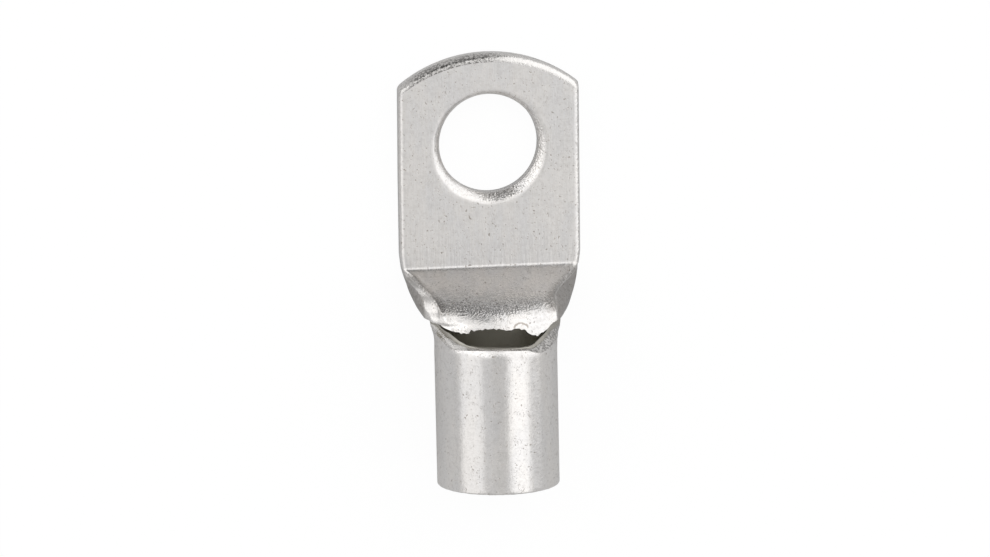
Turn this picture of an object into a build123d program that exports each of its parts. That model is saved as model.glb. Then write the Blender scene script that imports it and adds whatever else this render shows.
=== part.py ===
import os
from math import atan, cos, degrees, radians, sin, sqrt

from build123d import *

os.makedirs("parts", exist_ok=True)

# Tubular cable lug: one copper tube, left round as the barrel and pressed flat as the palm.
# Millimetres. The origin is the stud hole's centre on the palm's back, Z is up out of the
# palm's front, and Y runs from the barrel's open end to the palm's rounded end.

# Tube
TUBE_D = 10.4
WALL = 1.1
BARREL_LENGTH = 11.1
RIM_R = 0.35

# Palm
PALM_WIDTH = 15.4
PALM_END = 7.7
PALM_REACH = 10.5
PALM_END_R = 12.3
PALM_EDGE_R = 0.45
PALM_END_ROLL = 0.5

# The pressed walls touch along a seam, drawn as a narrow gap that laps into the tube's hollow.
SEAM_GAP = 0.06
SEAM_LAP = 0.2

# Stud hole, punched from the front, which draws its front edge down
STUD_HOLE_D = 8.5
HOLE_ROLL = 0.6

# The palm's sides draw in a little before the crease. One row for each section: its share of
# the taper's length and its share of the draw-in.
TAPER_LENGTH = 1.1
TAPER_DRAW_IN = 0.14
TAPER = ((0.5, 0.3), (1.0, 1.0))

# Transition from the crease to the round barrel, one row for each section. Each number is how
# far the section has gone from the palm's value to the barrel's: in its distance, its width,
# its height, its corner radius and the bow of its four sides.
TRANSITION_LENGTH = 7.0
TRANSITION = (
    (0.071, 0.038, 0.112, 0.063, 0.1),
    (0.143, 0.102, 0.234, 0.147, 0.2),
    (0.214, 0.178, 0.354, 0.242, 0.3),
    (0.286, 0.271, 0.47, 0.347, 0.4),
    (0.357, 0.377, 0.577, 0.463, 0.5),
    (0.429, 0.483, 0.668, 0.579, 0.6),
    (0.486, 0.593, 0.728, 0.663, 0.67),
    (0.536, 0.72, 0.772, 0.737, 0.73),
    (0.586, 0.831, 0.811, 0.8, 0.8),
    (0.657, 0.894, 0.862, 0.863, 0.87),
    (0.743, 0.945, 0.927, 0.926, 0.93),
    (0.829, 0.979, 0.982, 0.975, 1.0),
    (0.9, 0.996, 0.998, 0.996, 1.0),
    (0.971, 1.0, 1.0, 1.0, 1.0),
    (1.0, 1.0, 1.0, 1.0, 1.0),
)
ROUND_TURN = 30

# The tube's hollow starts at this share of the transition, no lower than this and with
# corners no smaller than this. While it is low, its top bows by no more than this share
# of half its height.
HOLLOW_START = 0.121
HOLLOW_LEAST = 0.33
HOLLOW_CORNER_R = 0.15
HOLLOW_BOW = 0.35

# Inspection mouth across the front, where the pressed wall tore away from the barrel. Its
# places are shares of the tube's radius across, and shares of the transition along.
# The barrel keeps a flat sill and a facet on each side of it, all leaning in to the bore.
SILL_ALONG = 0.84
SILL_CORNER = 0.806
SILL_RAKE = 0.1
FACET_SLOPE = 0.615
FACET_RAKE = 0.27

# The pressed wall keeps a torn lip with a lobe at each side.
LIP_LEFT = ((-1.135, 0.471), (-1.019, 0.514), (-0.846, 0.6), (-0.635, 0.657), (-0.529, 0.621))
LIP_MIDDLE = ((-0.471, 0.583), (0.231, 0.6), (0.394, 0.606))
LIP_RIGHT = ((0.462, 0.65), (0.596, 0.697), (0.75, 0.654), (0.942, 0.55), (1.096, 0.471))

# At each side the tear closes to a point near the tube's widest line. Both ends of its edge on
# the palm's side are given as shares along and of the tube's diameter up.
TEAR_END = (0.564, 0.471)
TEAR_TOP = (0.457, 0.635)

# Derived sizes
TUBE_R = TUBE_D / 2
BORE_R = TUBE_R - WALL
PALM_T = 2 * WALL
HALF_PALM = PALM_WIDTH / 2
HALF_CREASE = HALF_PALM - TAPER_DRAW_IN
CREASE_Y = -PALM_REACH
TAPER_Y = CREASE_Y + TAPER_LENGTH
BARREL_Y = CREASE_Y - TRANSITION_LENGTH
OPEN_END_Y = BARREL_Y - BARREL_LENGTH
MARGIN = 1.0


def between(start, end, share):
    return start + (end - start) * share


def along(share):
    """Y at a share of the way from the crease to the round barrel."""
    return between(CREASE_Y, BARREL_Y, share)


def front_point(place):
    """A place on the front, from its shares across and along."""
    return place[0] * TUBE_R, along(place[1])


def oval_corner(half_width, half_height, corner, turn):
    """Start, middle and end of an oval's corner, measured from the oval's centre."""
    bend = corner * sqrt(0.5)
    if turn == 0:
        x, z = half_width - corner, half_height - corner
        return (x, half_height), (x + bend, z + bend), (half_width, z)
    s, c = sin(radians(turn)), cos(radians(turn))
    reach_x = half_width - corner * (c - s)
    reach_z = half_height - corner * (c - s)
    share = s * s - (1 - c) * (1 - c)
    top_r = (reach_x * s - reach_z * (1 - c)) / share
    side_r = (reach_z * s - reach_x * (1 - c)) / share
    x = (top_r - corner) * s
    z = half_height - top_r + (top_r - corner) * c
    start = (top_r * s, half_height - top_r * (1 - c))
    end = (half_width - side_r * (1 - c), side_r * s)
    return start, (x + bend, z + bend), end


def oval(y, half_width, low, high, corner, turn):
    """Outline across the tube at y: four corners and four sides, flat or bowed, all tangent."""
    half_height = (high - low) / 2
    start, bend, end = oval_corner(half_width, half_height, corner, turn)

    def point(place, flip_x, flip_z):
        return flip_x * place[0], y, (low + high) / 2 + flip_z * place[1]

    def side(first, middle, last):
        return Line(first, last) if turn == 0 else ThreePointArc(first, middle, last)

    edges = []
    for flip in (1, -1):
        edges += [
            ThreePointArc(*(point(place, flip, flip) for place in (start, bend, end))),
            side(point(end, flip, flip), point((half_width, 0), flip, flip), point(end, flip, -flip)),
            ThreePointArc(*(point(place, flip, -flip) for place in (end, bend, start))),
            side(point(start, flip, -flip), point((0, half_height), flip, -flip),
                 point(start, -flip, -flip)),
        ]
    return Wire(edges)


def flat_section(y, half_width):
    return oval(y, half_width, 0, PALM_T, PALM_EDGE_R, 0)


def palm_blank():
    """Flat bar with pressed edges, its end rounded and rolled over at the front."""
    length = PALM_END - TAPER_Y + MARGIN
    bar = extrude(Plane.XZ * RectangleRounded(PALM_WIDTH, PALM_T, PALM_EDGE_R), amount=-length)
    disc = Cylinder(PALM_END_R, PALM_T, align=(Align.CENTER, Align.CENTER, Align.MIN))
    disc = fillet(disc.edges().group_by(Axis.Z)[-1], PALM_END_ROLL)
    return (Pos(0, TAPER_Y, PALM_T / 2) * bar) & (Pos(0, PALM_END - PALM_END_R, 0) * disc)


def palm_taper():
    sections = [flat_section(TAPER_Y, HALF_PALM)]
    for share, draw_in in TAPER:
        sections.append(flat_section(between(TAPER_Y, CREASE_Y, share),
                                     between(HALF_PALM, HALF_CREASE, draw_in)))
    return Solid.make_loft(sections)


def transition_rows():
    """Distance, half width, height, corner radius and turn of each section past the crease."""
    return [(share * TRANSITION_LENGTH, between(HALF_CREASE, TUBE_R, width),
             between(PALM_T, TUBE_D, height), between(PALM_EDGE_R, TUBE_R, corner),
             ROUND_TURN * bow) for share, width, height, corner, bow in TRANSITION]


def transition_outside():
    sections = [flat_section(CREASE_Y, HALF_CREASE)]
    for distance, half_width, height, corner, turn in transition_rows():
        sections.append(oval(CREASE_Y - distance, half_width, 0, height, corner, turn))
    return Solid.make_loft(sections)


def outside_half(distance):
    """Half the transition's width at a distance past the crease."""
    before = (0.0, HALF_CREASE)
    for row in transition_rows():
        if row[0] >= distance:
            return between(before[1], row[1], (distance - before[0]) / (row[0] - before[0]))
        before = row
    return TUBE_R


def slanted_wall(rows, index, column):
    """Wall across a section where the tube's outside slopes there."""
    before, after = rows[max(index - 1, 0)], rows[min(index + 1, len(rows) - 1)]
    slope = (after[column] - before[column]) / (after[0] - before[0])
    return WALL * sqrt(1 + slope * slope)


def transition_inside():
    """The hollow of the transition, one wall in from its outside at each section."""
    rows = transition_rows()
    start = HOLLOW_START * TRANSITION_LENGTH
    floor = (PALM_T - SEAM_GAP) / 2
    sections = [oval(CREASE_Y - start, outside_half(start) - WALL, floor, floor + HOLLOW_LEAST,
                     HOLLOW_CORNER_R, 0)]
    for index, (distance, half_width, height, corner, turn) in enumerate(rows):
        top = height - slanted_wall(rows, index, 2)
        if distance <= start or top - WALL < HOLLOW_LEAST + SEAM_GAP:
            continue
        hollow_half = half_width - slanted_wall(rows, index, 1)
        half_height = (top - WALL) / 2
        hollow_corner = min(corner * 2 * half_height / height, corner - WALL)
        bow = min(turn, degrees(2 * atan(HOLLOW_BOW * half_height / hollow_half)))
        sections.append(oval(CREASE_Y - distance, hollow_half, WALL, top,
                             max(hollow_corner, HOLLOW_CORNER_R), bow))
    return Solid.make_loft(sections)


def barrel_rod(radius, end_y):
    rod = Cylinder(radius, BARREL_Y - end_y, rotation=(90, 0, 0))
    return Pos(0, (BARREL_Y + end_y) / 2, TUBE_R) * rod


def barrel_outside():
    rod = barrel_rod(TUBE_R, OPEN_END_Y)
    return fillet(rod.edges().sort_by(Axis.Y)[0], RIM_R)


def palm_seam():
    """Line where the two pressed walls meet, open at the palm's end and in the stud hole."""
    half = HALF_PALM - WALL
    far = HOLLOW_START * TRANSITION_LENGTH + SEAM_LAP
    far_half = outside_half(far) - WALL - SEAM_LAP
    outline = Polyline((-half, PALM_END + MARGIN), (-half, TAPER_Y), (-far_half, CREASE_Y - far),
                       (far_half, CREASE_Y - far), (half, TAPER_Y), (half, PALM_END + MARGIN),
                       close=True)
    return Pos(0, 0, (PALM_T - SEAM_GAP) / 2) * extrude(make_face(outline), amount=SEAM_GAP)


def sill_outline(z):
    """Level section, at height z, of what the sill and its two facets bound."""
    depth = TUBE_D - z
    back = along(TEAR_TOP[0]) + MARGIN
    sill = along(SILL_ALONG) + SILL_RAKE * depth
    corner = SILL_CORNER * TUBE_R + (SILL_RAKE - FACET_RAKE) * depth / FACET_SLOPE
    far = corner + (back - sill) / FACET_SLOPE
    return Wire(Polyline((-far, back, z), (-corner, sill, z), (corner, sill, z), (far, back, z),
                         close=True).edges())


def sill_cut():
    return Solid.make_loft([sill_outline(TEAR_END[1] * TUBE_D), sill_outline(TUBE_D + MARGIN)], True)


def lip_cut():
    """All that lies on the barrel's side of the torn lip."""
    left = [front_point(place) for place in LIP_LEFT]
    middle = [front_point(place) for place in LIP_MIDDLE]
    right = [front_point(place) for place in LIP_RIGHT]
    rest = [right[-1], (HALF_PALM + MARGIN, right[-1][1]), (HALF_PALM + MARGIN, BARREL_Y),
            (-HALF_PALM - MARGIN, BARREL_Y), (-HALF_PALM - MARGIN, left[0][1]), left[0]]
    lines = (Spline(*left, middle[0]), Polyline(*middle), Spline(middle[-1], *right), Polyline(*rest))
    edges = [edge for line in lines for edge in line.edges()]
    return extrude(make_face(Wire(edges)), amount=TUBE_D + MARGIN)


def tear_cut():
    """All that lies above the closing end of the tear, seen from the side."""
    end_y, end_z = along(TEAR_END[0]), TEAR_END[1] * TUBE_D
    top_y, top_z = along(TEAR_TOP[0]), TEAR_TOP[1] * TUBE_D
    outline = Polyline((end_y, end_z), (top_y, top_z), (top_y, TUBE_D + MARGIN),
                       (BARREL_Y, TUBE_D + MARGIN), (BARREL_Y, end_z), close=True)
    return extrude(Plane.YZ * make_face(outline), amount=HALF_PALM, both=True)


def mouth():
    return sill_cut() & lip_cut() & tear_cut()


def stud_hole():
    return Cylinder(STUD_HOLE_D / 2, 3 * PALM_T)


def roll_over_hole(body):
    """Draw down the front edge of the stud hole."""
    circles = body.edges().filter_by(GeomType.CIRCLE)
    return fillet(circles.sort_by_distance((STUD_HOLE_D / 2, 0, PALM_T))[0], HOLE_ROLL)


def lug():
    outside = palm_blank() + palm_taper() + transition_outside() + barrel_outside()
    hollow = transition_inside() + barrel_rod(BORE_R, OPEN_END_Y - MARGIN)
    body = outside - hollow - palm_seam() - mouth() - stud_hole()
    return roll_over_hole(body).solid()


if __name__ == "__main__":
    part = lug()
    print("lug", part.is_valid, round(part.volume, 2), part.bounding_box())
    export_step(part, "parts/lug.step")
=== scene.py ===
"""The looks of the cable lug: its one piece of metal, with camera, light and floor."""
import math

import bpy
import numpy as np
from mathutils import Matrix, Vector


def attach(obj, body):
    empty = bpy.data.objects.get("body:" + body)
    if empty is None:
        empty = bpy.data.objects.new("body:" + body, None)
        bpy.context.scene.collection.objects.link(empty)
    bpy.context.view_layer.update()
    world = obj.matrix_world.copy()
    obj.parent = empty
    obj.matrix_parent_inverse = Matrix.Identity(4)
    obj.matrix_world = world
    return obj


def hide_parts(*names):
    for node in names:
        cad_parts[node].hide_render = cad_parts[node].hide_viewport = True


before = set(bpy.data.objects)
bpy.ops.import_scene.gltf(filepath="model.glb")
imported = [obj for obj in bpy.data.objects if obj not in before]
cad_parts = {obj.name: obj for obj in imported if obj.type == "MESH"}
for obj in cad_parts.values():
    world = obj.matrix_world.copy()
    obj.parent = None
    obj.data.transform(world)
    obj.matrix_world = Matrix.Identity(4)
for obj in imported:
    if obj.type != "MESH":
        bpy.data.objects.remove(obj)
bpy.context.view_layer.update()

MM = 0.001

# Sizes of the lug in millimetres, as its solid has them, and how quickly the top of the
# transition is drawn narrower towards its height
TUBE_R = 5.2
WALL = 1.1
PALM_HALF = 7.7
HALF_CREASE = 7.56
PALM_T = 2 * WALL
PALM_END = 7.7
PALM_END_R = 12.3
PALM_EDGE_R = 0.45
CREASE_Y = -10.5
TAPER_Y = -9.4
TRANSITION_LENGTH = 7.0
OPEN_END_Y = -28.6
HOLE_R = 4.25
ROUND_TURN = math.radians(30)
FLAT_TURN = math.radians(0.2)
TOP_DRAW_POWER = 1.15

# The hollow: the steepest wall it allows for, its least half height, its least corner and the
# share of its half height that the corner and the bow keep to, and its length past the crease
HOLLOW_STEEPEST = 1.3
HOLLOW_LEAST = 0.1
HOLLOW_CORNER = (0.08, 0.95)
HOLLOW_BOW = 0.35
HOLLOW_PAST_CREASE = 0.9

# The palm's marks in millimetres: its rounded end lies aside and back, starts to bend the rows
# at a y, is drawn in at its edge, and has an open seam between the walls
END_ASIDE = 0.13
END_BACK = 0.03
END_BEND_Y = -6
RIGHT_DRAW_IN = 0.35
SEAM_GAP = 0.07
SEAM_DEPTH = 0.14
# Roll of the end over the palm's front, down and back, on the left and on the right, and of
# its back
ROLL_DOWN = (0.95, 0.5)
ROLL_BACK = (0.56, 0.7)
BACK_ROLL = 0.2
ROLL_DRAW_IN = 0.12
ROLL_ANGLES = (84, 76, 68, 60, 52, 44, 36, 28, 20, 13, 6)
# Slope across the palm at the crease, with its reach, and the left side's slimming beyond a y
CREASE_SLOPE = 0.01
CREASE_REACH = 0.9
SLIMMING = 0.008
SLIM_FROM_Y = -3

# Roll of the stud hole's edge: width and depth, and how much less they are towards the end
HOLE_ROLL_WIDTH = 0.62
HOLE_WIDTH_LESS = 0.3
HOLE_ROLL_DEPTH = 0.5
HOLE_DEPTH_LESS = 0.15
HOLE_BACK_R = 0.12

# The barrel leans to one side below a y, and its open end is rounded, with a burr
LEAN = 0.0085
LEAN_FROM_Y = -17
RIM_R = 0.16
BURR = 0.006
BORE_EDGE = 0.12

# Sections of the transition: share along it, then shares from the palm's value to the
# barrel's of half width, height, corner radius and bow
TRANSITION = (
    (0.0, 0.0, 0.0, 0.0, 0.0),
    (0.071, 0.038, 0.112, 0.063, 0.1),
    (0.143, 0.102, 0.234, 0.147, 0.2),
    (0.214, 0.178, 0.354, 0.242, 0.3),
    (0.286, 0.271, 0.47, 0.347, 0.4),
    (0.357, 0.377, 0.577, 0.463, 0.5),
    (0.429, 0.483, 0.668, 0.579, 0.6),
    (0.486, 0.593, 0.728, 0.663, 0.67),
    (0.536, 0.72, 0.772, 0.737, 0.73),
    (0.586, 0.831, 0.811, 0.8, 0.8),
    (0.657, 0.894, 0.862, 0.863, 0.87),
    (0.743, 0.945, 0.927, 0.926, 0.93),
    (0.829, 0.979, 0.982, 0.975, 1.0),
    (0.9, 0.996, 0.998, 0.996, 1.0),
    (1.0, 1.0, 1.0, 1.0, 1.0),
)

# Pressed ridges beside the flap: share along the transition, corner radius over the sides,
# share by which the top is narrower than the sides, and bow of the top in degrees
RIDGES = (
    (0.0, 0.45, 0.0, 0.2),
    (0.086, 0.6, 0.07, 1.5),
    (0.157, 0.7, 0.12, 3.0),
    (0.229, 0.9, 0.143, 4.5),
    (0.3, 1.2, 0.155, 6.5),
    (0.4, 2.0, 0.12, 11.0),
    (0.486, 3.2, 0.065, 17.0),
    (0.56, 4.0, 0.02, 21.5),
    (0.6, 4.27, 0.0, 24.5),
    (0.657, 4.55, 0.0, 26.0),
    (0.743, 4.85, 0.0, 28.0),
    (0.829, 5.08, 0.0, 30.0),
    (1.0, 5.2, 0.0, 30.0),
)

# How far the middle of the flap lies lower than the tube would, by y
FLAP_DROP = (
    (-15.4, 0.98), (-14.7, 0.8), (-14.3, 0.65), (-14, 0.55), (-13.7, 0.44),
    (-13.3, 0.29), (-12.9, 0.13), (-12.5, 0),
)

# Dents of the outline beside the mouth: y, then how far the left and the right side stand out
SIDE_DENTS = (
    (-17.2, 0, 0), (-16.7, -0.03, 0), (-16.2, -0.09, -0.02), (-15.8, -0.1, 0.03),
    (-15.3, -0.07, 0.13), (-15.0, -0.04, 0.12), (-14.7, -0.1, 0.07), (-14.56, -0.2, 0.02),
    (-14.46, 0.08, -0.02), (-14.3, 0.17, 0.02), (-13.9, 0.12, 0.02), (-13.0, 0.11, 0),
    (-12.3, 0.08, 0), (-11.7, 0, 0),
)

# Folds beside the flap: y, inner and outer edge of the pressed facet on the left, fold on
# the right, and how far the section follows them
FOLDS = (
    (-16.0, 3.75, 5.0, 4.85, 1), (-15.0, 4.0, 5.15, 4.88, 1), (-14.24, 4.25, 5.42, 4.93, 1),
    (-13.93, 4.4, 5.6, 4.89, 1), (-13.57, 4.62, 5.8, 4.86, 1), (-13.13, 4.82, 5.88, 4.86, 1),
    (-12.85, 4.97, 5.93, 4.89, 1), (-12.65, 5.07, 5.97, 4.94, 1), (-12.4, 5.2, 6.05, 5.04, 1),
    (-12.19, 5.42, 6.25, 5.18, 1), (-12.0, 5.65, 6.47, 5.34, 1), (-11.69, 6.02, 6.82, 5.66, 1),
    (-11.32, 6.34, 7.12, 6.2, 1), (-11.07, 6.5, 7.28, 6.58, 1), (-10.8, 6.85, 7.4, 6.98, 1),
    (-10.5, 7.3, 7.45, 7.3, 0),
)
# Half width of the fold on the right, and the share of the section's middle in the height at
# which the side below a fold bends
FOLD_R = 0.1
SIDE_BEND = 0.55

# Columns are drawn together towards the folds: the two that lie on the folds, and where they
# go to, by y
FOLD_COLUMNS = (0.6, 0.72)
COLUMN_SHIFTS = (
    (-10.8, 0.797, 0.867), (-10.5, 0.863, 0.9), (-7.0, 0.6, 0.72),
)

# Edges of the mouth by side, which is 0 at the top of the tube and 1 or -1 at its sides: the
# torn lip of the flap, the sill on the barrel's side, the line where the band below the sill
# starts to bend in, the band's depth at the sill, and both edges inside
LIP = (
    (-1, -14.3), (-0.78, -14.28), (-0.72, -14.42), (-0.68, -14.6), (-0.65, -14.78),
    (-0.6, -14.95), (-0.53, -15.06), (-0.46, -15.12), (-0.4, -15.14), (-0.375, -15.04),
    (-0.355, -14.86), (-0.33, -14.92), (-0.262, -14.86), (-0.154, -14.78), (-0.049, -14.78),
    (0.049, -14.84), (0.101, -14.98), (0.141, -14.84), (0.212, -14.82), (0.265, -14.94),
    (0.299, -15.12), (0.317, -15.26), (0.354, -15.42), (0.399, -15.46), (0.436, -15.36),
    (0.483, -15.16), (0.53, -14.92), (0.58, -14.54), (0.733, -14.38), (1, -14.38),
)
SILL = (
    (-1, -14.42), (-0.9, -14.5), (-0.77, -14.7), (-0.675, -15.12), (-0.6, -15.4),
    (-0.505, -15.74), (-0.405, -15.98), (-0.26, -16.09), (-0.105, -16.13), (0.05, -16.15),
    (0.21, -16.19), (0.32, -16.16), (0.395, -16.04), (0.46, -15.8), (0.535, -15.52),
    (0.6, -15.25), (0.66, -14.85), (0.72, -14.6), (1, -14.5),
)
BAND = (
    (-1, -15.3), (-0.945, -15.34), (-0.82, -15.5), (-0.745, -15.8), (-0.67, -16.12),
    (-0.6, -16.36), (-0.47, -16.36), (-0.245, -16.28), (-0.07, -16.28), (0.105, -16.32),
    (0.28, -16.4), (0.355, -16.62), (0.45, -16.76), (0.55, -16.64), (0.655, -16.36),
    (0.83, -16.06), (1, -15.9),
)
BAND_DEPTH = (
    (-1, 0.0), (-0.9, 0.36), (-0.8, 0.5), (-0.45, 0.5), (-0.3, 0.3), (0, 0.22),
    (0.3, 0.26), (0.45, 0.38), (0.8, 0.36), (0.9, 0.24), (1, 0.0),
)
LIP_INSIDE = (
    (-1, -14.98), (-0.85, -14.7), (-0.6, -14.45), (-0.3, -14.3), (0, -14.25),
    (0.3, -14.3), (0.6, -14.5), (0.85, -14.9), (1, -15.32),
)
SILL_INSIDE = (
    (-1, -14.98), (-0.86, -15.36), (-0.725, -15.58), (-0.595, -15.9), (-0.47, -16.12),
    (-0.295, -16.16), (-0.11, -16.2), (0.065, -16.22), (0.255, -16.28), (0.39, -16.28),
    (0.485, -16.2), (0.575, -15.98), (0.695, -15.74), (0.905, -15.6), (1, -15.32),
)

# Share of the band's depth from the sill outwards, and the share that is the cut edge
BAND_BEND = (
    (0, 1.0), (0.36, 0.97), (0.44, 1.1), (0.5, 0.96), (0.9, 0.22), (1, 0.0),
)
CUT_EDGE = 0.5
# Least gap between the lip and the sill, and the side over which it closes at the mouth's ends
MOUTH_GAP = 0.2
MOUTH_GAP_SOFT = 0.02
# The torn part of the lip, by side, and its small steps: size, how close they follow each
# other, and start
LIP_TORN = 0.6
LIP_TORN_SOFT = 0.1
LIP_STEPS = ((0.035, 71, 1), (0.03, 113, 2.5), (0.02, 187, 0))

# Lines beside the flap that the painted shade, the mottling and the relief follow: y of the
# line's bend and of its top, and how far out it lies at each
RIGHT_FOLD = (-12.6, -10.4, 4.95, 7.5)
FACET_INNER = (-13.3, -10.4, 4.8, 7.2)
FACET_OUTER = (-12.9, -10.4, 5.85, 7.6)
RIGHT_MARGIN = (-12.6, -10.4, 3.4, 6.0)
LEFT_MARGIN = (-13.3, -10.4, 3.3, 5.8)
MARGIN_SOFT = 1.6
# The dark line painted above the lip as the shade of a curled fold: its middle and its radius
CURL_AT = (1.9, -14.9, 0)
CURL_R = 0.86
# Painted highlight, a bright line along the band on the left: its y, and the x from which it rises
HIGHLIGHT_LINE_Y = -16.2
HIGHLIGHT_RISE_X = -3.9

# Colours of the tin: clean in two tones, in its marks (pits, scratches and the painted shade of
# a curled fold), in its painted shade and where it is mottled, then two each of the torn metal
# (its own tone and its painted shade), the cut edge and the inside
CLEAN = ((0.89, 0.865, 0.84), (0.85, 0.835, 0.825))
IN_MARKS = (0.55, 0.52, 0.49)
PAINTED_SHADE = (0.53, 0.52, 0.51)
MOTTLED = (0.62, 0.61, 0.6)
TORN_TONE_AND_SHADE = ((0.88, 0.86, 0.84), (0.3, 0.29, 0.28))
EDGE_TONES = ((0.36, 0.345, 0.31), (0.58, 0.56, 0.51))
INSIDE_TONES = ((0.50, 0.48, 0.42), (0.62, 0.60, 0.54))
WHITE = (1, 1, 1)

# Patterns in the tin: scale per millimetre, detail and roughness
WAVES = (0.7, 2.0, 0.5)
GRAIN = (5.5, 2.0, 0.6)
COARSE = (6.5, 1.0, 0.5)
STREAKS = (1.0, 2.0, 0.6)
SPECKS = (4.2, 1.0)
RARE_SPECKS = (0.6, 2.0)
HAIRS = (1.3, 2.0, 0.5)
HAIRS_KEPT = (1.9, 2.0)
PATCHES = (0.6, 3.0, 0.6)
MOTTLE = (3.4, 3.0, 0.65)
SHEEN = (1.6, 4.0, 0.65)
SCORES = (4.6, 3.0, 0.65)
CURL_WANDER = (1.6,)
# Their relief: height in millimetres and strength
WAVE_RELIEF = (0.05, 0.3)
STREAK_RELIEF = (0.03, 0.6)
GRAIN_RELIEF = (0.02, 0.35)
COARSE_RELIEF = (0.05, 1.0)
MARK_RELIEF = (0.02, 0.4)
TORN_RELIEF = (0.05, 0.5)
SCORE_RELIEF = (0.03, 0.5)
CLOUD_RELIEF = 0.02

# The photograph's view: turns in degrees, place of the camera in its own directions, and focal
# length in pixels of a picture of this width
VIEW_TURN = (9.985, -5.981, -0.712)
VIEW_FROM = (0.704, -11.729, 388.9)
FOCAL_PIXELS = 4574.2
PICTURE_PIXELS = 990
SENSOR = 36

# The floor: its size in metres, its grey, its glow, and how much of the glow the camera sees
FLOOR_SIZE = 1.2
FLOOR_GREY = 0.66
FLOOR_GLOW = 1.05
FLOOR_SEEN = 0.9

# The studio's level, low and high, and its share straight above
STUDIO_LEVEL = (0.555, 0.64)
STUDIO_ABOVE = 0.85
# Its panels: middle and half width round the compass, lower and upper edge as the height of
# their direction, and brightness; and how soft their sides, lower and upper edges are
PANELS = (
    ((39, 47, 0.1, 0.97), 1.2),
    ((335, 15, 0.52, 0.94), 1.2),
    ((183, 32, 0.22, 0.82), 0.95),
    ((150, 26, -0.1, 0.96), 1.3),
    ((100, 24, 0.62, 0.965), 0.95),
    ((104, 17, -0.12, 0.6), 0.15),
    ((91, 18, -0.3, 0.3), 0.17),
    ((270, 50, -0.2, 0.88), 0.5),
)
PANEL_SOFT = 6
PANEL_LOW_SOFT = 0.07
PANEL_HIGH_SOFT = 0.02

# Divisions of the skin: columns in a quarter turn, half of the block round the hole in columns
# and in y, and the step of the table of sections
QUARTER = 60
ROUND = 4 * QUARTER
BLOCK = 42
BLOCK_Y = 6.1
TABLE_STEP = 0.02

# The side that each column is at, and the columns that the mouth takes up
SIDE = np.array([k if k <= 2 * QUARTER else k - ROUND for k in range(ROUND)]) / QUARTER
MOUTH = np.arange(-QUARTER, QUARTER + 1) % ROUND


def eased_step(share):
    """A share from 0 to 1 with soft ends."""
    return share * share * (3 - 2 * share)


def evened(values, width, times=3):
    """Values of a dense table with their corners rounded over a few entries."""
    kernel = np.ones(width) / width
    for _ in range(times):
        padded = np.pad(values, width // 2, mode="edge")
        values = np.convolve(padded, kernel, mode="valid")
    return values


def section_table():
    """Half width, height, corner radius and turn of the outside, closely spaced along y."""
    at_y = np.arange(-(PALM_END + 1), -OPEN_END_Y + 1, TABLE_STEP)
    share = (CREASE_Y + at_y) / TRANSITION_LENGTH
    along, width, height, corner, bow = np.array(TRANSITION).T
    taper = np.clip((-at_y - CREASE_Y) / (TAPER_Y - CREASE_Y), 0, 1)
    palm_half = HALF_CREASE + (PALM_HALF - HALF_CREASE) * taper
    half = palm_half + (TUBE_R - HALF_CREASE) * np.interp(share, along, width)
    at, radius, drawn, top_bow = np.array(RIDGES).T
    ridge = [np.interp(share, at, values) for values in (radius, drawn, np.radians(top_bow))]
    tall = PALM_T + (2 * TUBE_R - PALM_T) * np.interp(share, along, height)
    curve = PALM_EDGE_R + (TUBE_R - PALM_EDGE_R) * np.interp(share, along, corner)
    turn = FLAT_TURN + (ROUND_TURN - FLAT_TURN) * np.interp(share, along, bow)
    return at_y, [evened(values, 9) for values in (half, tall, curve, turn, *ridge)]


TABLE_AT, TABLE = section_table()


def section_at(y):
    return [np.interp(-y, TABLE_AT, values) for values in TABLE]


def oval_points(side, half, low, top, corner, turn):
    """x and z round an oval of eight tangent arcs."""
    quarter = np.abs(side)
    share = np.where(quarter > 1, 2 - quarter, quarter)
    tall = (top - low) / 2
    sine, cosine = np.sin(turn), np.cos(turn)
    spare = 1 - cosine
    reach_x = half - corner * (cosine - sine)
    reach_z = tall - corner * (cosine - sine)
    scale = sine ** 2 - spare ** 2
    top_r = (reach_x * sine - reach_z * spare) / scale
    side_r = (reach_z * sine - reach_x * spare) / scale
    top_length = top_r * turn
    corner_length = corner * (math.pi / 2 - 2 * turn)
    at = share * (top_length + corner_length + side_r * turn)
    on_top = at < top_length
    on_corner = at < top_length + corner_length
    top_angle = at / top_r
    corner_angle = turn + (at - top_length) / corner
    side_angle = math.pi / 2 - turn + (at - top_length - corner_length) / side_r
    corner_x = (top_r - corner) * sine
    corner_z = tall - top_r + (top_r - corner) * cosine
    x = np.where(on_top, top_r * np.sin(top_angle), np.where(
        on_corner, corner_x + corner * np.sin(corner_angle),
        half - side_r + side_r * np.sin(side_angle)))
    z = np.where(on_top, tall - top_r + top_r * np.cos(top_angle), np.where(
        on_corner, corner_z + corner * np.cos(corner_angle), side_r * np.cos(side_angle)))
    return x * np.sign(side), np.where(quarter > 1, -z, z) + (low + top) / 2


def shifted_side(y):
    """The side each column is at on a row, once it is drawn towards the folds."""
    at, first, second = np.array(COLUMN_SHIFTS).T
    first, second = np.interp(y, at, first), np.interp(y, at, second)
    low, high = FOLD_COLUMNS
    size = np.abs(SIDE)
    moved = np.where(size < low, size / low * first, np.where(
        size < high, first + (size - low) / (high - low) * (second - first),
        second + (size - high) / (1 - high) * (1 - second)))
    return np.where(size < 1, moved, size) * np.sign(SIDE)


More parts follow.
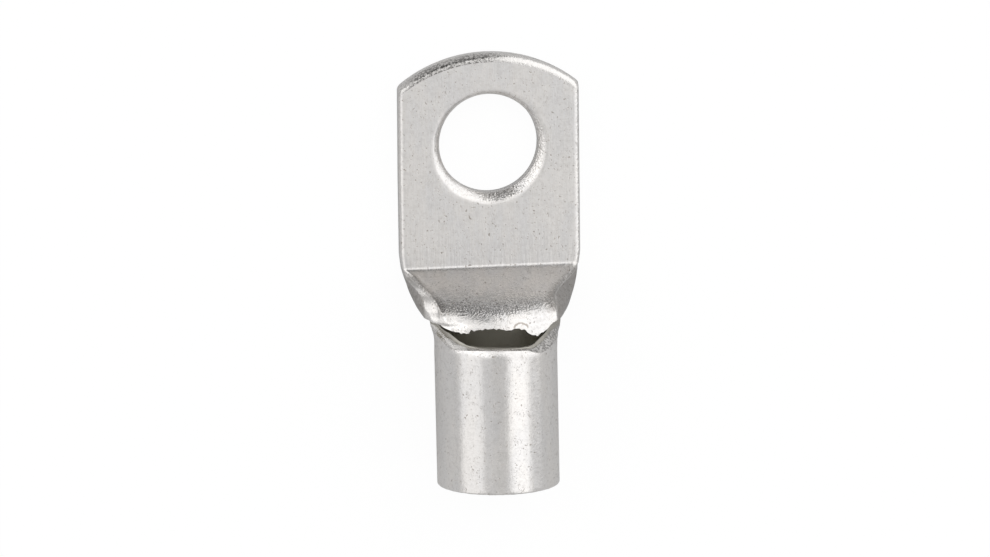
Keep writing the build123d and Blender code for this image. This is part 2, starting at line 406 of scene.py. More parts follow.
def folded(y, half, tall, turn):
    """x and z of the upper half of a row that has folds beside the flap."""
    at, inner, outer, fold = np.array(FOLDS).T[:4]
    left = SIDE < 0
    inner = np.where(left, np.interp(y, at, inner), np.interp(y, at, fold) - FOLD_R)
    outer = np.where(left, np.interp(y, at, outer), np.interp(y, at, fold) + FOLD_R)
    low, high = FOLD_COLUMNS
    size = np.abs(SIDE)
    top = inner * np.minimum(size / low, 1)
    crown = tall - top ** 2 / inner * np.tan(turn / 2)
    facet = np.clip((size - low) / (high - low), 0, 1) * (outer - inner)
    down = np.clip((size - high) / (1 - high), 0, 1)
    corner_z = tall - inner * np.tan(turn / 2) - (outer - inner)
    side_x = 2 * down * (1 - down) * half + down ** 2 * half + (1 - down) ** 2 * outer
    bend_z = SIDE_BEND * tall / 2 + (1 - SIDE_BEND) * corner_z
    side_z = 2 * down * (1 - down) * bend_z + down ** 2 * tall / 2 + (1 - down) ** 2 * corner_z
    x = np.where(size <= high, top + facet, side_x)
    z = np.where(size <= high, crown - facet, side_z)
    return x * np.sign(SIDE), z


def outside(y, shrink=0.0, pressed=False):
    """A row of the outer skin, with one y for each column and the folds of the pressed part."""
    half, tall, corner, turn, ridge_r, drawn, top_turn = section_at(y)
    over = np.abs(SIDE) < 1
    corner = np.where(over, ridge_r, corner)
    turn = np.where(over, top_turn, turn)
    side = shifted_side(y) if pressed else SIDE
    x, z = oval_points(side, half - shrink, shrink, tall - shrink, corner - shrink, turn)
    high = np.clip(2 * z / tall - 1, 0, 1)
    x = x * (1 - drawn * high ** TOP_DRAW_POWER)
    if pressed:
        followed = np.where(over, np.interp(y, *np.array(FOLDS).T[[0, 4]]), 0)
        fold_x, fold_z = folded(y, half, tall, top_turn)
        x = x + (fold_x - x) * followed
        z = z + (fold_z - z) * followed
    at, left, right = np.array(SIDE_DENTS).T
    dent = np.where(x < 0, np.interp(y, at, left), np.interp(y, at, right))
    x = x * (1 + dent / half * np.abs(x / half))
    return np.stack((x, y, z), axis=1)


def flap_drop(y):
    at, drop = np.array(FLAP_DROP).T
    return np.interp(-y, TABLE_AT, evened(np.interp(-TABLE_AT, at, drop), 15))


def flap(y):
    """A row of the outer skin on the palm's side of the mouth, pressed in along its middle."""
    row = outside(y, pressed=True)
    row[:, 2] -= flap_drop(y) * eased_step(np.clip((1.0 - np.abs(SIDE)) / 0.5, 0, 1))
    return row


def inside(y, flap_side=False):
    """A row of the hollow, a wall inside the outer skin."""
    half, tall, corner, turn = section_at(y)[:4]
    slope = np.gradient(TABLE[1], TABLE_AT)
    lean = np.interp(-y, TABLE_AT, evened(slope, 41))
    roof = tall - WALL * np.sqrt(1 + np.minimum(lean, HOLLOW_STEEPEST) ** 2)
    roof = roof - np.where(flap_side, flap_drop(y), 0.0)
    half = half - WALL
    tall = np.maximum((roof - WALL) / 2, HOLLOW_LEAST)
    turn = np.minimum(turn, 2 * np.arctan(HOLLOW_BOW * tall / half))
    least, share = HOLLOW_CORNER
    corner = np.clip(np.minimum(corner - WALL, share * tall), least, None)
    in_barrel = y < CREASE_Y - TRANSITION_LENGTH
    corner = np.where(in_barrel, TUBE_R - WALL, corner)
    turn = np.where(in_barrel, ROUND_TURN, turn)
    x, z = oval_points(SIDE, half, WALL, WALL + 2 * tall, corner, turn)
    return np.stack((x, y, z), axis=1)


def end_drop(x):
    """How far the rounded end of the palm falls back at x."""
    aside = np.abs(x - END_ASIDE)
    return END_BACK + PALM_END_R - np.sqrt(PALM_END_R ** 2 - aside ** 2)


def palm(y):
    """A row of the palm, bent by and by to the line of its rounded end."""
    row = outside(np.full(ROUND, float(y)), pressed=True)
    share = np.clip((y - END_BEND_Y) / (PALM_END - END_BEND_Y), 0, 1)
    row[:, 1] -= end_drop(row[:, 0]) * eased_step(share)
    return row


def palm_end(set_back_top, top, set_back_low, low, draw_in):
    """A row of the palm's end, as far behind its outline as its top and bottom are set back."""
    tall = top - low
    corner = np.minimum(PALM_EDGE_R, tall * 0.45)
    flat = np.broadcast_to(FLAT_TURN * np.minimum(1.0, tall), ROUND)
    x, z = oval_points(SIDE, PALM_HALF, low, top, corner, flat)
    x = x * (1 - draw_in * np.where(x < 0, 1.0, RIGHT_DRAW_IN) / PALM_HALF)
    high = np.clip((z - low) / tall, 0, 1)
    set_back = set_back_low + (set_back_top - set_back_low) * high
    return np.stack((x, PALM_END - end_drop(x) - set_back, z), axis=1)


# The metals of the skin: tin plate, tarnished tin inside, torn tin and cut edge
BRIGHT, DULL, TORN, EDGE = range(4)


class Mesh:
    """Vertices and faces as they are made, kept as rows of vertex numbers."""

    def __init__(self):
        self.points = []
        self.count = 0
        self.faces = []
        self.metals = []
        self.metal = BRIGHT

    def row(self, points):
        self.points.append(points)
        numbers = np.arange(self.count, self.count + len(points))
        self.count += len(points)
        return numbers

    def strip(self, first, second, skip=None):
        faces = np.stack((first[:-1], first[1:], second[1:], second[:-1]), axis=1)
        faces = faces if skip is None else faces[~skip]
        self.faces.append(faces)
        self.metals.append(np.broadcast_to(self.metal, len(faces)))

    def ring(self, first, second, skip=None):
        self.strip(np.append(first, first[0]), np.append(second, second[0]), skip)

    def joined(self, previous, rows):
        """Adds rows, each joined to the one before it, and gives the last one's numbers."""
        for row in rows:
            numbers = self.row(row)
            self.ring(previous, numbers)
            previous = numbers
        return previous


def zipped(mesh, row):
    """Closes a flat row by joining each column of its top to the one below it."""
    top = row[MOUTH]
    low = row[(2 * QUARTER - np.arange(-QUARTER, QUARTER + 1)) % ROUND]
    mesh.strip(top, low)


def eased(count, power):
    return np.linspace(0, 1, count) ** power


def end_rows():
    """Rows of the palm's end, from the seam over its cut face to the top of its roll."""
    right = eased_step(np.clip(3.2 * SIDE + 0.2, 0, 1))
    roll = ROLL_DOWN[0] + (ROLL_DOWN[1] - ROLL_DOWN[0]) * right
    reach = ROLL_BACK[0] + (ROLL_BACK[1] - ROLL_BACK[0]) * right
    seam, gap = PALM_T / 2, SEAM_GAP / 2
    cut = [
        palm_end(SEAM_DEPTH, seam + gap * 0.6, SEAM_DEPTH, seam - gap * 0.6, 0.2),
        palm_end(0.0, seam + gap, 0.0, seam - gap, 0.15),
    ]
    for share in (0.5, 1.0):
        top = seam + gap + (PALM_T - roll - seam - gap) * share
        low = seam - gap - (seam - gap - BACK_ROLL) * share
        cut.append(palm_end(0.0, top, 0.0, low, ROLL_DRAW_IN))
    rolled = []
    for angle in np.radians(ROLL_ANGLES):
        fall, set_back = 1 - math.cos(angle), 1 - math.sin(angle)
        rolled.append(palm_end(reach * set_back, PALM_T - roll * fall, BACK_ROLL * set_back,
                               BACK_ROLL * fall, ROLL_DRAW_IN * fall))
    return cut, rolled


def palm_heights():
    """y of the palm's rows, close to each other at the end and at the crease."""
    near_end = PALM_END - max(ROLL_BACK) - np.arange(0, 0.6, 0.1)
    face = np.arange(near_end[-1] - 0.17, -9.3, -0.17)
    near_crease = np.linspace(face[-1] - 0.12, CREASE_Y, 12)
    return np.concatenate((near_end, face, near_crease))


def palm_rows(mesh):
    """Rows from the seam in the palm's end to its crease, and the block left for the hole."""
    cut, rolled = end_rows()
    heights = palm_heights()
    in_block = np.abs(heights) < BLOCK_Y
    rows = cut + rolled + [palm(y) for y in heights]
    numbers = [mesh.row(row) for row in rows]
    zipped(mesh, numbers[0])
    front = np.abs(SIDE * QUARTER + 0.5)
    skip = (front < BLOCK) | (front > 2 * QUARTER - BLOCK)
    first_height = len(rows) - len(heights)
    for k in range(len(numbers) - 1):
        j = k - first_height
        hole = j >= 0 and in_block[j] and in_block[j + 1]
        on_roll = len(cut) <= k < first_height
        mesh.metal = np.where(front < QUARTER, TORN, BRIGHT) if on_roll else BRIGHT
        mesh.ring(numbers[k], numbers[k + 1], skip if hole else None)
    block = [numbers[first_height + j] for j in np.flatnonzero(in_block)]
    return block, numbers[-1]


def block_outline(block, back):
    """Vertex numbers round the block that the hole's rings fill."""
    across = np.arange(-BLOCK, BLOCK + 1)
    columns = (2 * QUARTER - across) % ROUND if back else across % ROUND
    first = block[0][columns]
    right = [row[columns[-1]] for row in block[1:-1]]
    last = block[-1][columns[::-1]]
    left = [row[columns[0]] for row in block[-2:0:-1]]
    return np.concatenate((first, right, last, left))


def stud_hole(mesh, block):
    """Rings from the palm's front over the rolled edge of the hole and down its wall."""
    front = block_outline(block, False)
    back = block_outline(block, True)
    points = np.concatenate(mesh.points)
    outline = points[front]
    angle = np.arctan2(outline[:, 1], outline[:, 0])
    width = HOLE_ROLL_WIDTH - HOLE_WIDTH_LESS * np.sin(angle)
    width = width + 0.03 * np.sin(5 * angle + 1) + 0.02 * np.sin(11 * angle)
    depth = HOLE_ROLL_DEPTH - HOLE_DEPTH_LESS * np.sin(angle)
    circle = np.stack((np.cos(angle), np.sin(angle)), axis=1)

    def at(radius, z):
        z = np.broadcast_to(z, angle.shape)
        return np.column_stack((circle * np.broadcast_to(radius, angle.shape)[:, None], z))

    rings = [front]
    start = at(HOLE_R + width, PALM_T)
    for share in (0.18, 0.36, 0.54, 0.7, 0.85):
        rings.append(mesh.row(outline + (start - outline) * share))
    for share in np.linspace(0, 1, 12):
        rings.append(mesh.row(at(HOLE_R + width * (1 - share), PALM_T - depth * share ** 1.5)))
    seam, gap = PALM_T / 2, SEAM_GAP / 2
    wall = ((HOLE_R, (PALM_T - depth + seam + gap) / 2), (HOLE_R, seam + gap),
            (HOLE_R + SEAM_DEPTH, seam + gap * 0.6), (HOLE_R + SEAM_DEPTH, seam - gap * 0.6),
            (HOLE_R, seam - gap), (HOLE_R, seam / 2))
    rings += [mesh.row(at(radius, z)) for radius, z in wall]
    for turn in np.radians((90, 60, 30, 0)):
        radius = HOLE_R + HOLE_BACK_R * (1 - math.sin(turn))
        rings.append(mesh.row(at(radius, HOLE_BACK_R * (1 - math.cos(turn)))))
    start = at(HOLE_R + HOLE_BACK_R, 0.0)
    outline = points[back]
    for share in (0.35, 0.7):
        rings.append(mesh.row(start + (outline - start) * share))
    rings.append(back)
    for first, second in zip(rings, rings[1:]):
        mesh.ring(first, second)


def edge_line(table):
    """y of an edge of the mouth in each column, and the joined line beside the mouth."""
    side, y = np.array(table).T
    line = np.interp(SIDE, side, y)
    right = SIDE > 1
    left = SIDE < -1
    middle = (y[0] + y[-1]) / 2
    turned = 0.5 - 0.5 * np.cos(np.pi * np.clip(np.abs(SIDE) - 1, 0, 1))
    line[right] = (y[-1] + (middle - y[-1]) * turned)[right]
    line[left] = (y[0] + (middle - y[0]) * turned)[left]
    return line


def slit(mesh, row, points):
    """A row whose columns in the mouth are new, while the others are the given row's."""
    numbers = row.copy()
    numbers[MOUTH[1:-1]] = mesh.row(points[MOUTH[1:-1]])
    return numbers


def mouth_faces(mesh, outer, inner, ends=None):
    """The cut faces between an outer and an inner edge of the mouth."""
    points = np.concatenate(mesh.points)
    rows = [outer[MOUTH]]
    made = []
    for index, share in enumerate((0.33, 0.67)):
        middle = points[outer[MOUTH]] * (1 - share) + points[inner[MOUTH]] * share
        if ends is None:
            numbers = mesh.row(middle)
        else:
            numbers = np.concatenate(([ends[index][0]], mesh.row(middle[1:-1]), [ends[index][1]]))
        rows.append(numbers)
        made.append((numbers[0], numbers[-1]))
    rows.append(inner[MOUTH])
    for first, second in zip(rows, rows[1:]):
        mesh.strip(first, second)
    return made


def torn_lip():
    """y of the torn lip in each column, with its small steps."""
    torn = np.clip((LIP_TORN - np.abs(SIDE)) / LIP_TORN_SOFT, 0, 1)
    steps = [size * np.sin(SIDE * turns + start) for size, turns, start in LIP_STEPS]
    return edge_line(LIP) + torn * sum(steps)


def sill_line(depth):
    """y of the sill in each column, kept below the lip that is seen over it."""
    over = (1 - depth / TUBE_R) * np.sin(np.clip(SIDE, -1, 1) * math.pi / 2)
    lip_over = np.interp(np.arcsin(over) * 2 / math.pi, *np.array(LIP).T)
    gap = MOUTH_GAP * np.clip((1 - np.abs(SIDE)) / MOUTH_GAP_SOFT, 0, 1)
    return np.minimum(edge_line(SILL), lip_over - gap)


def band_rows(mesh, lip_row):
    """The slit of the mouth and the band of metal below it, which is bent in to the sill."""
    band = edge_line(BAND)
    depth = np.interp(SIDE, *np.array(BAND_DEPTH).T) * (np.abs(SIDE) <= 1)
    sill = sill_line(depth)
    previous = sill_row = slit(mesh, lip_row, outside(sill, depth))
    for share in np.linspace(0, 1, 17)[1:]:
        bend = np.interp(share, *np.array(BAND_BEND).T)
        mesh.metal = EDGE if share < CUT_EDGE else TORN
        row = outside(sill + (band - sill) * share, depth * bend)
        previous = mesh.joined(previous, [row])
    mesh.metal = BRIGHT
    return sill_row, previous


def barrel_rows(mesh, previous):
    """Rows down the barrel and round its open end to the bore."""
    band = edge_line(BAND)
    end = OPEN_END_Y + RIM_R
    turned = SIDE * math.pi
    burr = BURR * (3 + np.sin(9 * turned + 2) + np.sin(17 * turned) + np.sin(31 * turned + 1))
    previous = mesh.joined(previous, [outside(band + (end - band) * share)
                                      for share in eased(50, 1.2)[1:]])
    for angle in np.radians((15, 30, 45, 60, 75, 90)):
        y = end + (burr - RIM_R) * math.sin(angle)
        previous = mesh.joined(previous, [outside(y, RIM_R * (1 - math.cos(angle)))])
    for shrink, up in ((0.6, 0.0), (WALL - BORE_EDGE, 0.0), (WALL - 0.03, 0.04),
                       (WALL, BORE_EDGE)):
        previous = mesh.joined(previous, [outside(np.full(ROUND, OPEN_END_Y + up), shrink)])
    return previous


def hollow_rows(mesh, previous):
    """Rows up the hollow, past both inner edges of the mouth, to its end below the palm."""
    sill, lip = edge_line(SILL_INSIDE), edge_line(LIP_INSIDE)
    start = OPEN_END_Y + BORE_EDGE
    closed = CREASE_Y - HOLLOW_PAST_CREASE
    sill_row = mesh.joined(previous, [inside(start + (sill - start) * share)
                                      for share in np.linspace(0, 1, 22)[1:]])
    lip_row = slit(mesh, sill_row, inside(lip, True))
    last = mesh.joined(lip_row, [inside(lip + (closed - lip) * share, True)
                                 for share in np.linspace(0, 1, 14)[1:]])
    zipped(mesh, last)
    return sill_row, lip_row


def tube_rows(mesh, crease):
    """Rows from the crease over the flap, the mouth and the barrel, and back up the hollow."""
    lip = torn_lip()
    lip_row = mesh.joined(crease, [flap(CREASE_Y + (lip - CREASE_Y) * share)
                                   for share in eased(38, 0.95)[1:]])
    sill_row, band_row = band_rows(mesh, lip_row)
    bore_row = barrel_rows(mesh, band_row)
    mesh.metal = DULL
    inner_sill, inner_lip = hollow_rows(mesh, bore_row)
    ends = mouth_faces(mesh, lip_row, inner_lip)
    mouth_faces(mesh, sill_row, inner_sill, ends)


def warped(points):
    """The points with the sloping crease, the barrel's lean and the palm's slimmer left side."""
    x, y = points[:, 0].copy(), points[:, 1]
    y += CREASE_SLOPE * x * np.exp(-((y - CREASE_Y) / CREASE_REACH) ** 2)
    x += LEAN * np.clip(LEAN_FROM_Y - y, 0, None)
    x += SLIMMING * np.clip(y - SLIM_FROM_Y, 0, None) * np.clip(-x / PALM_HALF, 0, 1)
    points[:, 0] = x
    return points


def lug_mesh():
    """The whole skin as one closed mesh, in metres."""
    mesh = Mesh()
    block, crease = palm_rows(mesh)
    stud_hole(mesh, block)
    tube_rows(mesh, crease)
    points = warped(np.concatenate(mesh.points))
    faces = np.concatenate(mesh.faces)
    used = np.unique(faces)
    renumber = np.zeros(len(points), int)
    renumber[used] = np.arange(len(used))
    made = bpy.data.meshes.new("lug_skin")
    made.from_pydata((points[used] * MM).tolist(), [], renumber[faces].tolist())
    made.polygons.foreach_set("material_index", np.concatenate(mesh.metals))
    made.validate()
    made.update()
    return made


def node(tree, kind, **settings):
    made = tree.nodes.new(kind)
    for name, value in settings.items():
        setattr(made, name, value)
    return made


def link(tree, source, target):
    tree.links.new(source, target)


def fill(tree, socket, value):
    """Links a socket to a node's output, or sets it to a plain value."""
    if isinstance(value, bpy.types.NodeSocket):
        link(tree, value, socket)
    else:
        socket.default_value = value


def stretched(tree, source, scale):
    """Place on the metal in millimetres, drawn out along the axes that have a small scale."""
    mapping = node(tree, "ShaderNodeMapping")
    mapping.inputs["Scale"].default_value = [value / MM for value in scale]
    link(tree, source, mapping.inputs["Vector"])
    return mapping.outputs[0]


def noise(tree, place, scale, detail=3.0, rough=0.55):
    made = node(tree, "ShaderNodeTexNoise")
    made.inputs["Scale"].default_value = scale
    made.inputs["Detail"].default_value = detail
    made.inputs["Roughness"].default_value = rough
    link(tree, place, made.inputs["Vector"])
    return made.outputs[0]


def ramp(tree, value, low, high, to_low=0.0, to_high=1.0):
    """A soft step: to_low where the value is at low, to_high where it is at high."""
    made = node(tree, "ShaderNodeMapRange", interpolation_type="SMOOTHSTEP")
    for name, number in (("From Min", low), ("From Max", high), ("To Min", to_low),
                         ("To Max", to_high)):
        made.inputs[name].default_value = number
    link(tree, value, made.inputs[0])
    return made.outputs[0]


def between(tree, value, start, full, still, gone):
    """A soft band: 0 up to start, 1 from full to still, and 0 again from gone on."""
    return product(tree, ramp(tree, value, start, full), ramp(tree, value, gone, still))


def math_node(tree, operation, *values):
    made = node(tree, "ShaderNodeMath", operation=operation)
    for socket, value in zip(made.inputs, values):
        fill(tree, socket, value)
    return made.outputs[0]


def combined(tree, operation, values):
    made = values[0]
    for value in values[1:]:
        made = math_node(tree, operation, made, value)
    return made


def product(tree, *values):
    return combined(tree, "MULTIPLY", values)


def largest(tree, *values):
    return combined(tree, "MAXIMUM", values)


def difference(tree, first, second):
    return math_node(tree, "SUBTRACT", first, second)


def vector_node(tree, operation, first, second=None):
    made = node(tree, "ShaderNodeVectorMath", operation=operation)
    link(tree, first, made.inputs[0])
    if second is not None:
        made.inputs[1].default_value = second
    return made


def apart(tree, vector):
    """The x, y and z of a vector."""
    parts = node(tree, "ShaderNodeSeparateXYZ")
    link(tree, vector, parts.inputs[0])
    return list(parts.outputs)


def tint(tree, share, first, second):
    made = node(tree, "ShaderNodeMix", data_type="RGBA")
    made.inputs["A"].default_value = (*first, 1)
    made.inputs["B"].default_value = (*second, 1)
    link(tree, share, made.inputs["Factor"])
    return made.outputs["Result"]


def multiplied(tree, colour, by, share=1.0):
    """A colour multiplied by another, in full or by a share."""
    made = node(tree, "ShaderNodeMix", data_type="RGBA", blend_type="MULTIPLY")
    fill(tree, made.inputs["Factor"], share)
    fill(tree, made.inputs["A"], colour)
    fill(tree, made.inputs["B"], by)
    return made.outputs["Result"]


def mixed_level(tree, share, first, second):
    made = node(tree, "ShaderNodeMix", data_type="FLOAT")
    fill(tree, made.inputs["Factor"], share)
    fill(tree, made.inputs["A"], first)
    fill(tree, made.inputs["B"], second)
    return made.outputs["Result"]


def bumped(tree, height, distance, strength, under=None):
    made = node(tree, "ShaderNodeBump")
    made.inputs["Distance"].default_value = distance * MM
    made.inputs["Strength"].default_value = strength
    link(tree, height, made.inputs["Height"])
    if under is not None:
        link(tree, under, made.inputs["Normal"])
    return made.outputs[0]


def metal(name):
    """A bare metal: its material, its tree and shader, and the place on it, plain and in mm."""
    material = bpy.data.materials.new(name)
    material.use_nodes = True
    tree = material.node_tree
    shader = tree.nodes["Principled BSDF"]
    shader.inputs["Metallic"].default_value = 1.0
    place = node(tree, "ShaderNodeTexCoord").outputs["Object"]
    return material, tree, shader, place, stretched(tree, place, (1, 1, 1))


def beyond(tree, across, along, line, soft=0.3):
    """Where the metal lies outside a line beside the flap."""
    return ramp(tree, difference(tree, across, ramp(tree, along, *line)), 0.0, soft)


def fold_masks(tree, across, along):
    """The side faces, the facet on the left, and the flap's margins along both folds."""
    aside = product(tree, across, -1.0)
    right = beyond(tree, across, along, RIGHT_FOLD)
    inner = beyond(tree, aside, along, FACET_INNER)
    outer = beyond(tree, aside, along, FACET_OUTER)
    pressed = between(tree, along, -14.8, -14.4, -10.9, -10.6)
    side = product(tree, pressed, largest(tree, right, outer))
    facet = product(tree, pressed, difference(tree, inner, outer))
    near = largest(tree, beyond(tree, across, along, RIGHT_MARGIN, MARGIN_SOFT),
                   beyond(tree, aside, along, LEFT_MARGIN, MARGIN_SOFT))
    margins = product(tree, between(tree, along, -13.9, -13.4, -11.0, -10.6),
                      difference(tree, near, largest(tree, right, inner)))
    return side, facet, margins


def coarse_zone(tree, parts, facet, margins):
    """How coarse the metal is: on the flap towards the lip, its margins and the rolled edges."""
    across, along, up = parts
    flap_zone = product(tree, ramp(tree, along, -16.9, -16.5),
                        ramp(tree, along, -10.6, -10.9, 0.0, 0.3),
                        ramp(tree, along, -11.8, -12.8, 1.0, 3.3))
    off_lip = math_node(tree, "ABSOLUTE", math_node(tree, "ADD", along, 14.4))
    flap_zone = product(tree, flap_zone, ramp(tree, off_lip, 0.3, 0.7, 0.4, 1.0),
                        ramp(tree, along, -13.3, -14.1, 1.0, 0.4),
                        ramp(tree, facet, 0.0, 1.0, 1.0, 0.05))
    rolls = product(tree, ramp(tree, along, -10.4, -10.1), between(tree, up, 1.3, 1.4, 2.1, 2.19),
                    ramp(tree, across, -2.0, 0.5, 0.15, 1.0))
    return largest(tree, flap_zone, rolls, margins)


def painted_shade_mask(tree, along, side, facet, margins):
    """Painted shade: the side faces, a spot of the facet, the margins and the flap's upper part.
    """
    spot = product(tree, facet, between(tree, along, -12.1, -11.7, -11.2, -10.95), 0.8)
    # Painted shade over the flap's upper part, fading out towards the lip
    upper = product(tree, ramp(tree, along, -13.9, -13.1, 0.0, 0.36),
                    ramp(tree, along, -10.5, -10.7))
    return largest(tree, side, spot, product(tree, margins, 0.95), upper)


def painted_curl_shade(tree, even):
    """0 on the painted shade of the fold the tear left above the lip, 1 elsewhere."""
    away = vector_node(tree, "SUBTRACT", even, CURL_AT).outputs[0]
    flat = vector_node(tree, "MULTIPLY", away, (1, 1.25, 0)).outputs[0]
    size = vector_node(tree, "LENGTH", flat).outputs["Value"]
    size = math_node(tree, "ADD", size, product(tree, noise(tree, even, *CURL_WANDER), 0.5))
    off = math_node(tree, "ABSOLUTE", difference(tree, size, CURL_R))
    return largest(tree, ramp(tree, off, 0.03, 0.12), ramp(tree, apart(tree, away)[1], 0.2, 0.0))


def plate_marks(tree, place, even):
    """0 in the pits and scratches and on the curled fold's painted shade, 1 elsewhere."""
    specks = ramp(tree, noise(tree, even, *SPECKS), 0.26, 0.33)
    rare = ramp(tree, noise(tree, even, *RARE_SPECKS), 0.45, 0.6)
    hairs = noise(tree, stretched(tree, place, (2.2, 0.9, 2.2)), *HAIRS)
    off_hair = math_node(tree, "ABSOLUTE", difference(tree, hairs, 0.5))
    kept = ramp(tree, noise(tree, even, *HAIRS_KEPT), 0.52, 0.6)
    hair = largest(tree, ramp(tree, off_hair, 0.002, 0.01), difference(tree, 1.0, kept))
    # The curled fold is only painted: its shade as a dark line, and a dent in the relief
    return product(tree, hair, largest(tree, specks, rare), painted_curl_shade(tree, even))


def plate_colour(tree, place, even, marks, dark, zone):
    """The tin's colour: two clean tones, darker in marks and in painted shade, and mottled."""
    patches = noise(tree, stretched(tree, place, (1, 0.3, 1)), *PATCHES)
    colour = tint(tree, ramp(tree, patches, 0.35, 0.65), *CLEAN)
    colour = multiplied(tree, colour, tint(tree, marks, IN_MARKS, WHITE))
    # Painted shade: darker on the side faces, a spot of the facet, the fold margins and upper flap
    colour = multiplied(tree, colour, tint(tree, dark, WHITE, PAINTED_SHADE))
    mottle = ramp(tree, noise(tree, even, *MOTTLE), 0.36, 0.56, 1.0, 0.0)
    amount = math_node(tree, "ADD", 0.2, product(tree, zone, 0.3))
    return multiplied(tree, colour, (*MOTTLED, 1), product(tree, mottle, amount))


def plate_relief(tree, place, even, masks):
    """The tin's fine relief: waves, drawn streaks, grain, coarse zones and marks."""
    facet, near_crease, zone, marks = masks
    smooth = difference(tree, 1.0, product(tree, facet, 0.85))
    waves = product(tree, noise(tree, even, *WAVES), smooth)
    streaks = noise(tree, stretched(tree, place, (5, 0.5, 5)), *STREAKS)
    drawn = product(tree, streaks, math_node(tree, "ADD", near_crease, 0.3))
    coarse = product(tree, zone, noise(tree, even, *COARSE))
    normal = bumped(tree, waves, *WAVE_RELIEF)
    normal = bumped(tree, drawn, *STREAK_RELIEF, normal)
    normal = bumped(tree, noise(tree, even, *GRAIN), *GRAIN_RELIEF, normal)
    normal = bumped(tree, coarse, *COARSE_RELIEF, normal)
    return bumped(tree, marks, *MARK_RELIEF, normal)


def tin_plate():
    """Bright tin on copper: fine grain, a few pits, scratches, drawn streaks and painted shade."""
    material, tree, shader, place, even = metal("tin_plate")
    parts = apart(tree, even)
    across, along, up = parts
    side, facet, margins = fold_masks(tree, across, along)
    zone = coarse_zone(tree, parts, facet, margins)
    # Painted shade on the side faces, a spot of the facet, the fold margins and the upper flap
    dark = painted_shade_mask(tree, along, side, facet, margins)
    marks = plate_marks(tree, place, even)
    palm_face = product(tree, ramp(tree, along, -10.8, -10.4), ramp(tree, up, 2.12, 2.19))
    near_crease = product(tree, palm_face, ramp(tree, along, -7.0, -10.2, 0.25, 1.0))
    matt = difference(tree, palm_face, product(tree, near_crease, 0.35))
    rough = ramp(tree, noise(tree, even, *SHEEN), 0.3, 0.7, 0.17, 0.23)
    colour = plate_colour(tree, place, even, marks, dark, zone)
    normal = plate_relief(tree, place, even, (facet, near_crease, zone, marks))
    link(tree, colour, shader.inputs["Base Color"])
    link(tree, math_node(tree, "ADD", rough, product(tree, matt, 0.2)), shader.inputs["Roughness"])
    link(tree, normal, shader.inputs["Normal"])
    return material


def torn_tin():
    """Torn or cut tin: rough and scored, with painted shade and a painted highlight line."""
    material, tree, shader, _, even = metal("tin_torn")
    across, along, _ = apart(tree, even)
    fine = noise(tree, even, *SCORES)
    # Painted shade over the left of the palm's end roll, lighter again at its far left
    shade_at_end = product(tree, ramp(tree, along, 3.0, 4.0), ramp(tree, across, 2.2, -0.8),
                     ramp(tree, across, -7.2, -6.0, 0.4, 1.0))
    # Painted shade over the band below the mouth, strongest on the right
    shade_at_mouth = product(tree, ramp(tree, along, -12.0, -13.0),
                       ramp(tree, across, -1.0, 2.0, 0.3, 0.85))
    # Painted highlight: a bright line along the band on the left, broken by the scoring
    rise = largest(tree, difference(tree, HIGHLIGHT_RISE_X, across), 0.0)
    off = difference(tree, difference(tree, along, rise), HIGHLIGHT_LINE_Y)
    painted_highlight = product(tree, ramp(tree, math_node(tree, "ABSOLUTE", off), 0.09, 0.22, 1.0, 0.0),
                     ramp(tree, across, -2.6, -3.1), ramp(tree, fine, 0.36, 0.5, 0.6, 1.0))
    # The painted shade, broken up by the fine scoring and kept off the painted highlight
    painted_torn_shade = product(tree, largest(tree, shade_at_end, shade_at_mouth), ramp(tree, fine, 0.44, 0.56, 1.0, 0.25),
                    ramp(tree, painted_highlight, 0.0, 1.0, 1.0, 0.0))
    normal = bumped(tree, noise(tree, even, *COARSE), *TORN_RELIEF)
    # The torn tin's own tone, and its painted shade
    link(tree, tint(tree, painted_torn_shade, *TORN_TONE_AND_SHADE), shader.inputs["Base Color"])
    # The painted highlight is made less metallic, so that its pale tone shows white
    link(tree, ramp(tree, painted_highlight, 0.0, 1.0, 1.0, 0.35), shader.inputs["Metallic"])
    link(tree, ramp(tree, fine, 0.3, 0.7, 0.2, 0.36), shader.inputs["Roughness"])
    link(tree, bumped(tree, fine, *SCORE_RELIEF, normal), shader.inputs["Normal"])
    return material


def cloudy_tin(name, clouds, tones, rough, grain):
    """Dull tin: scale and detail of its clouds, their tones and roughness, and its grain."""
    material, tree, shader, _, even = metal(name)
    cloud = noise(tree, even, *clouds, 0.6)
    link(tree, tint(tree, cloud, *tones), shader.inputs["Base Color"])
    link(tree, ramp(tree, cloud, 0.3, 0.7, *rough), shader.inputs["Roughness"])
    scale, strength = grain
    normal = bumped(tree, noise(tree, even, scale), CLOUD_RELIEF, strength)
    link(tree, normal, shader.inputs["Normal"])
    return material


def lug_metals():
    """The metals in the order of their numbers."""
    inside_tin = cloudy_tin("tin_inside", (0.8, 4.0), INSIDE_TONES, (0.42, 0.55), (4.0, 0.5))
    edge_tin = cloudy_tin("tin_edge", (2.5, 3.0), EDGE_TONES, (0.36, 0.5), (5.0, 0.4))
    return tin_plate(), inside_tin, torn_tin(), edge_tin


def lug_piece():
    piece = bpy.data.objects.new("lug_skin", lug_mesh())
    bpy.context.scene.collection.objects.link(piece)
    for material in lug_metals():
        piece.data.materials.append(material)
    bpy.context.view_layer.objects.active = piece
    piece.select_set(True)
    bpy.ops.object.mode_set(mode="EDIT")
    bpy.ops.mesh.select_all(action="SELECT")
    bpy.ops.mesh.normals_make_consistent(inside=False)
    bpy.ops.object.mode_set(mode="OBJECT")
    piece.select_set(False)
    piece.data.shade_smooth()
    piece.data.set_sharp_from_angle(angle=math.radians(38))
    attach(piece, "root")
    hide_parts("lug")
    return piece


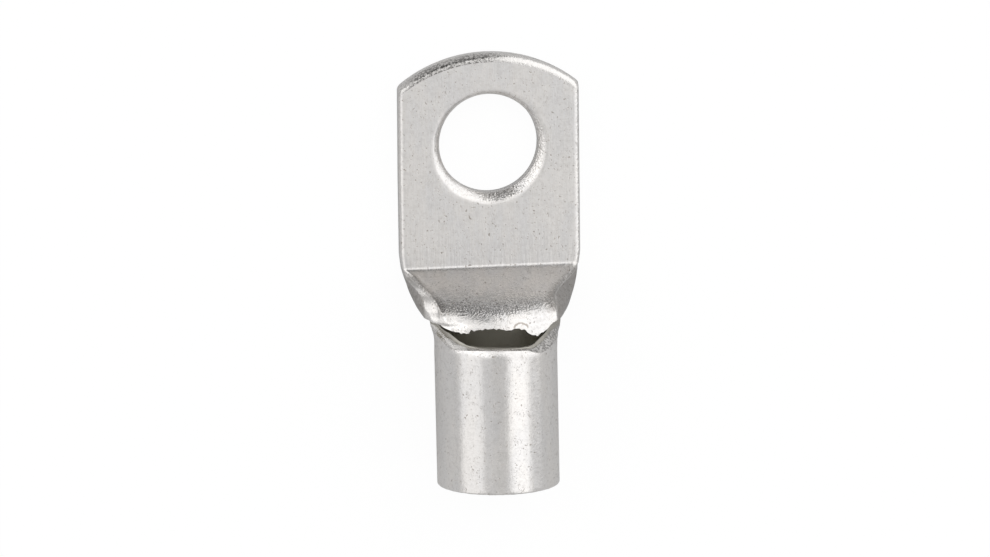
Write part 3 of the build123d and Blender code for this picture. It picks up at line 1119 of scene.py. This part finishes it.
def camera():
    """The photograph's view, with its long lens."""
    pitch, yaw, roll = np.radians(VIEW_TURN)
    turn = Matrix.Rotation(yaw, 3, "Y") @ Matrix.Rotation(-pitch, 3, "X")
    turn = turn @ Matrix.Rotation(roll, 3, "Z")
    data = bpy.data.cameras.new("camera")
    data.sensor_width = SENSOR
    data.lens = FOCAL_PIXELS / PICTURE_PIXELS * SENSOR
    data.clip_start = 0.01
    view = bpy.data.objects.new("camera", data)
    bpy.context.scene.collection.objects.link(view)
    view.matrix_world = Matrix.Translation(turn @ Vector(VIEW_FROM) * MM) @ turn.to_4x4()
    bpy.context.scene.camera = view


def floor():
    """A white floor that keeps the lug's shadow."""
    bpy.ops.mesh.primitive_plane_add(size=FLOOR_SIZE, location=(0, 0, 0))
    ground = bpy.context.object
    ground.name = "floor"
    material = bpy.data.materials.new("floor_white")
    material.use_nodes = True
    tree = material.node_tree
    shader = tree.nodes["Principled BSDF"]
    shader.inputs["Base Color"].default_value = (FLOOR_GREY, FLOOR_GREY, FLOOR_GREY, 1)
    shader.inputs["Roughness"].default_value = 0.9
    shader.inputs["Specular IOR Level"].default_value = 0.0
    glow = node(tree, "ShaderNodeEmission")
    glow.inputs["Strength"].default_value = FLOOR_GLOW
    seen = node(tree, "ShaderNodeLightPath").outputs["Is Camera Ray"]
    mix = node(tree, "ShaderNodeMixShader")
    link(tree, product(tree, seen, FLOOR_SEEN), mix.inputs[0])
    link(tree, shader.outputs[0], mix.inputs[1])
    link(tree, glow.outputs[0], mix.inputs[2])
    link(tree, mix.outputs[0], tree.nodes["Material Output"].inputs[0])
    ground.data.materials.append(material)


def panel(tree, level, compass, height, place, glow):
    """The level with a soft panel over it: middle and half width in degrees, edges in height."""
    middle, half, low, high = place
    middle = math.radians(middle)
    towards = (math.cos(middle), math.sin(middle), 0)
    facing = vector_node(tree, "DOT_PRODUCT", compass, towards).outputs["Value"]
    near = math.cos(math.radians(half - PANEL_SOFT))
    far = math.cos(math.radians(half + PANEL_SOFT))
    cover = product(tree, ramp(tree, facing, far, near),
                    ramp(tree, height, low - PANEL_LOW_SOFT, low + PANEL_LOW_SOFT),
                    ramp(tree, height, high + PANEL_HIGH_SOFT, high - PANEL_HIGH_SOFT))
    return mixed_level(tree, cover, level, glow)


def light():
    """A pale studio with bright, plain and dark panels round it, white to the camera."""
    world = bpy.data.worlds.new("studio")
    bpy.context.scene.world = world
    world.use_nodes = True
    tree = world.node_tree
    direction = node(tree, "ShaderNodeTexCoord").outputs["Generated"]
    height = apart(tree, direction)[2]
    flat = vector_node(tree, "MULTIPLY", direction, (1, 1, 0)).outputs[0]
    compass = vector_node(tree, "NORMALIZE", flat).outputs[0]
    level = product(tree, ramp(tree, height, 0.2, 0.7, *STUDIO_LEVEL),
                    ramp(tree, height, 0.93, 0.99, 1.0, STUDIO_ABOVE))
    for place, glow in PANELS:
        level = panel(tree, level, compass, height, place, glow)
    seen = node(tree, "ShaderNodeLightPath").outputs["Is Camera Ray"]
    back = tree.nodes["Background"]
    back.inputs[0].default_value = (1, 1, 1, 1)
    link(tree, mixed_level(tree, seen, level, 1.0), back.inputs[1])


lug_piece()
camera()
floor()
light()
bpy.context.scene.view_settings.view_transform = "Standard"
